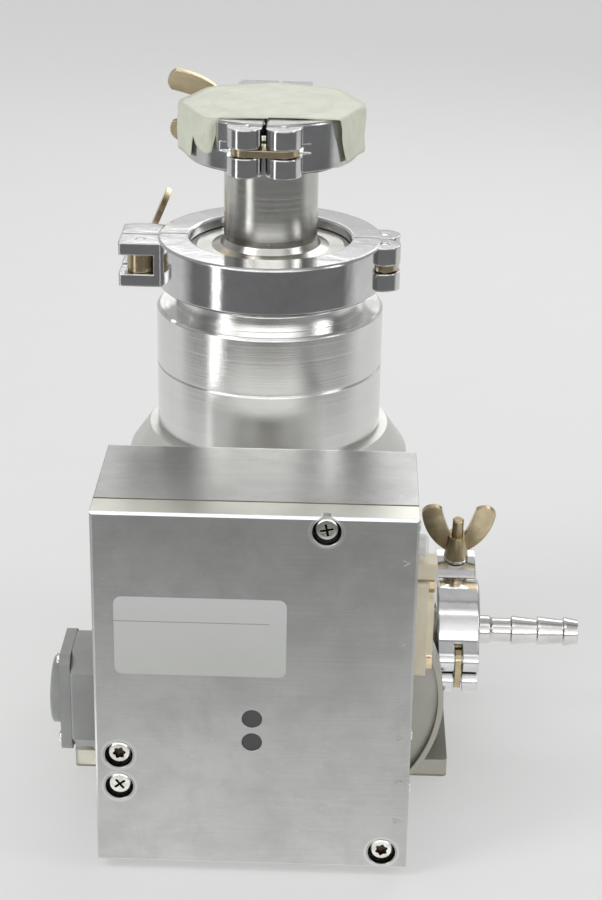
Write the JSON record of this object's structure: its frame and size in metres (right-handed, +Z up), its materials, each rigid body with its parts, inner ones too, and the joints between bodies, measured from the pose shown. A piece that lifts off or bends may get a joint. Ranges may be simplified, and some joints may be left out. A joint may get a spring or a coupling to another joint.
{
  "type": "turbomolecular pump",
  "caption": "Compact turbomolecular pump: turned housing on a footed casting, clamped inlet reducer with blank, side hose barb and box-shaped drive unit with connectors.",
  "frame": {"origin": "on the floor under the casting, on the rotor axis, at the centre of the four mounting holes", "axes": "+Z up along the rotor axis, -Y towards the drive unit, +X towards the foreline port"},
  "size_m": [0.2158, 0.1862, 0.2814],
  "materials": {
    "cast_aluminium": "cast and bead-blasted, light grey",
    "turned_steel": "turned, fine circumferential marks",
    "polished_aluminium": "polished",
    "brushed_tube": "drawn tube, lightly brushed",
    "drive_sheet": "matte brushed cast cover with fine scratches",
    "yellow_brass": "yellow passivated, dull",
    "steel_screw": "bright zinc",
    "film": "cream protective film",
    "label_white": "satin label stock",
    "grey_plastic": "moulded grey",
    "beige_plastic": "tinned shell and beige insulator",
    "white_plastic": "moulded white",
    "dark_window": "smoked window",
    "gasket_rubber": "brown sealing paste",
    "black_rubber": "fluoroelastomer",
    "mark_grey": "embossed",
    "rotor_aluminium": "machined",
    "bearing_steel": "ground",
    "magnet": "sintered",
    "copper_winding": "enamelled winding and laminations",
    "wick_felt": "felt wick",
    "circuit_green": "circuit board"
  },
  "bodies": {
    "pump_body": {"base_casting": "cast_aluminium", "bearing_outer_ring": "bearing_steel", "blank_flange": "polished_aluminium", "centring_rings": "brushed_tube", "circuit_board": "circuit_green", "clamp_pins": "steel_screw", "data_connector": "beige_plastic", "drag_stator": "rotor_aluminium", "drive_cover_screws": "steel_screw", "drive_front_cover": "drive_sheet", "drive_gasket": "gasket_rubber", "drive_label": "label_white", "drive_led_windows": "dark_window", "drive_marks": "mark_grey", "drive_rear_shell": "drive_sheet", "hose_barb": "brushed_tube", "inlet_clamp_fixed_half": "polished_aluminium", "inlet_clamp_link": "yellow_brass", "jack_screws": "yellow_brass", "joint_orings": "black_rubber", "motor_stator": "copper_winding", "oil_reservoir": "wick_felt", "port_clamp_fixed_half": "polished_aluminium", "port_clamp_link": "yellow_brass", "power_connector": "grey_plastic", "power_screws": "steel_screw", "power_socket": "grey_plastic", "protective_film": "film", "pump_housing": "turned_steel", "reducer_nipple": "brushed_tube", "reservoir_cover": "cast_aluminium", "sensor_plug": "white_plastic", "serial_socket": "beige_plastic", "side_screws": "steel_screw", "spacer_rings": "rotor_aluminium", "splinter_screen": "steel_screw", "stator_discs": "rotor_aluminium", "top_clamp_fixed_half": "polished_aluminium", "top_clamp_link": "yellow_brass", "top_clamp_loose_half": "polished_aluminium", "upper_bearing_holder": "rotor_aluminium", "upper_bearing_magnets": "magnet"},
    "rotor_body": {"rotor": "rotor_aluminium", "rotor_shaft": "bearing_steel", "motor_magnet": "magnet", "bearing_inner_ring": "bearing_steel", "bearing_balls": "bearing_steel"},
    "inlet_bolt": {"inlet_swing_bolt": "yellow_brass"},
    "inlet_thrust_washer": {"inlet_washer": "steel_screw"},
    "inlet_nut": {"inlet_wing_nut": "yellow_brass"},
    "inlet_loose_half": {"inlet_clamp_loose_half": "polished_aluminium"},
    "top_bolt": {"top_swing_bolt": "yellow_brass"},
    "top_thrust_washer": {"top_washer": "steel_screw"},
    "top_nut": {"top_wing_nut": "yellow_brass"},
    "port_bolt": {"port_swing_bolt": "yellow_brass"},
    "port_thrust_washer": {"port_washer": "steel_screw"},
    "port_nut": {"port_wing_nut": "yellow_brass"},
    "port_loose_half": {"port_clamp_loose_half": "polished_aluminium"}
  },
  "joints": [
    {"name": "rotor_spin", "type": "hinge", "parent": "pump_body", "child": "rotor_body", "pos_m": [0, 0, 0.06], "axis": [0, 0, 1], "continuous": true},
    {"name": "inlet_bolt_swing", "type": "hinge", "parent": "pump_body", "child": "inlet_bolt", "pos_m": [-0.0525, -0.007, 0.2117], "axis": [0, 0, 1], "range_deg": [0, 100]},
    {"name": "inlet_nut_turn", "type": "hinge", "parent": "inlet_thrust_washer", "child": "inlet_nut", "pos_m": [-0.0525, 0.015, 0.2117], "axis": [0, 1, 0], "range_deg": [0, 1800]},
    {"name": "inlet_nut_travel", "type": "slide", "parent": "inlet_bolt", "child": "inlet_thrust_washer", "axis": [0, 1, 0], "range_m": [0, 0.005]},
    {"name": "inlet_clamp_opening", "type": "hinge", "parent": "pump_body", "child": "inlet_loose_half", "pos_m": [0.0465, 0.0069, 0.2117], "axis": [0, 0, -1], "range_deg": [0, 2.7]},
    {"name": "top_bolt_swing", "type": "hinge", "parent": "pump_body", "child": "top_bolt", "pos_m": [0.00846, 0.03619, 0.2655], "axis": [0, 0, -1], "range_deg": [0, 100]},
    {"name": "top_nut_turn", "type": "hinge", "parent": "top_thrust_washer", "child": "top_nut", "pos_m": [-0.01552, 0.03715, 0.2655], "axis": [-0.9992, 0.0401, 0], "range_deg": [0, 1800]},
    {"name": "top_nut_travel", "type": "slide", "parent": "top_bolt", "child": "top_thrust_washer", "axis": [-0.9992, 0.0401, 0], "range_m": [0, 0.005]},
    {"name": "port_bolt_swing", "type": "hinge", "parent": "pump_body", "child": "port_bolt", "pos_m": [0.0832, 0.02969, 0.04473], "axis": [-1, 0, 0], "range_deg": [0, 100]},
    {"name": "port_nut_turn", "type": "hinge", "parent": "port_thrust_washer", "child": "port_nut", "pos_m": [0.0832, 0.02374, 0.06694], "axis": [0, -0.2588, 0.9659], "range_deg": [0, 1800]},
    {"name": "port_nut_travel", "type": "slide", "parent": "port_bolt", "child": "port_thrust_washer", "axis": [0, -0.2588, 0.9659], "range_m": [0, 0.005]},
    {"name": "port_clamp_opening", "type": "hinge", "parent": "pump_body", "child": "port_loose_half", "pos_m": [0.0832, -0.02613, 0.0425], "axis": [1, 0, 0], "range_deg": [0, 4.9]}
  ],
  "couplings": [
    {"joint": "inlet_nut_travel", "follows": "inlet_nut_turn", "m_per_rad": 0.00015915},
    {"joint": "inlet_clamp_opening", "follows": "inlet_nut_turn", "ratio": 0.0014951},
    {"joint": "top_nut_travel", "follows": "top_nut_turn", "m_per_rad": 0.00015915},
    {"joint": "port_nut_travel", "follows": "port_nut_turn", "m_per_rad": 0.00015915},
    {"joint": "port_clamp_opening", "follows": "port_nut_turn", "ratio": 0.0027159}
  ]
}
